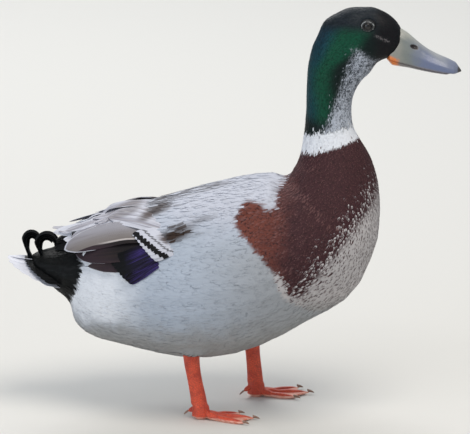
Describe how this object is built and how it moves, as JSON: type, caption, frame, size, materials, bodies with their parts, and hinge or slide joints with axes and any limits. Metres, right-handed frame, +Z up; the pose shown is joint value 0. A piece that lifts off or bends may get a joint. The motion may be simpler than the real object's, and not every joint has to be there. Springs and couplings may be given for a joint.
{
  "type": "duck",
  "caption": "Life-size still model of a standing farmyard drake of the mallard kind, green head, white collar, chestnut breast and orange feet.",
  "frame": {"origin": "on the floor under the middle of the model's box", "axes": "+X ahead, towards the bill, +Y to the bird's left, +Z up"},
  "size_m": [0.4088, 0.1708, 0.3723],
  "materials": {
    "plumage_green": "glossy green head and neck feathers",
    "plumage_chestnut": "matt chestnut breast feathers",
    "plumage_white": "matt bluish white body feathers",
    "plumage_grey": "matt pale grey-brown wing feathers",
    "plumage_purple": "silky purple-blue wing patch",
    "plumage_black": "black tail coverts and curled feathers",
    "bill": "waxy grey-green bill",
    "bill_rim": "waxy orange lower bill",
    "bill_nail": "dark horn",
    "eye": "wet dark brown eye",
    "leg_skin": "orange-red scaled skin",
    "claw": "dark horn"
  },
  "bodies": {
    "root": {"bill_lower": "bill_rim", "bill_nail": "bill_nail", "bill_upper": "bill", "breast": "plumage_chestnut", "claw_left_hind": "claw", "claw_left_inner": "claw", "claw_left_middle": "claw", "claw_left_outer": "claw", "claw_right_hind": "claw", "claw_right_inner": "claw", "claw_right_middle": "claw", "claw_right_outer": "claw", "eye_left": "eye", "eye_right": "eye", "foot_left": "leg_skin", "foot_right": "leg_skin", "head": "plumage_green", "neck": "plumage_green", "shank_left": "leg_skin", "shank_right": "leg_skin", "tail_coverts": "plumage_black", "tail_curl_1": "plumage_black", "tail_curl_2": "plumage_black", "tail_curl_3": "plumage_black", "tail_curl_4": "plumage_black", "tail_fan": "plumage_white", "thigh_left": "plumage_white", "thigh_right": "plumage_white", "trunk": "plumage_white", "wing_left_coverts": "plumage_grey", "wing_left_primaries": "plumage_grey", "wing_left_scapulars": "plumage_grey", "wing_left_speculum": "plumage_purple", "wing_left_tertials": "plumage_grey", "wing_right_coverts": "plumage_grey", "wing_right_primaries": "plumage_grey", "wing_right_scapulars": "plumage_grey", "wing_right_speculum": "plumage_purple", "wing_right_tertials": "plumage_grey"}
  },
  "joints": []
}
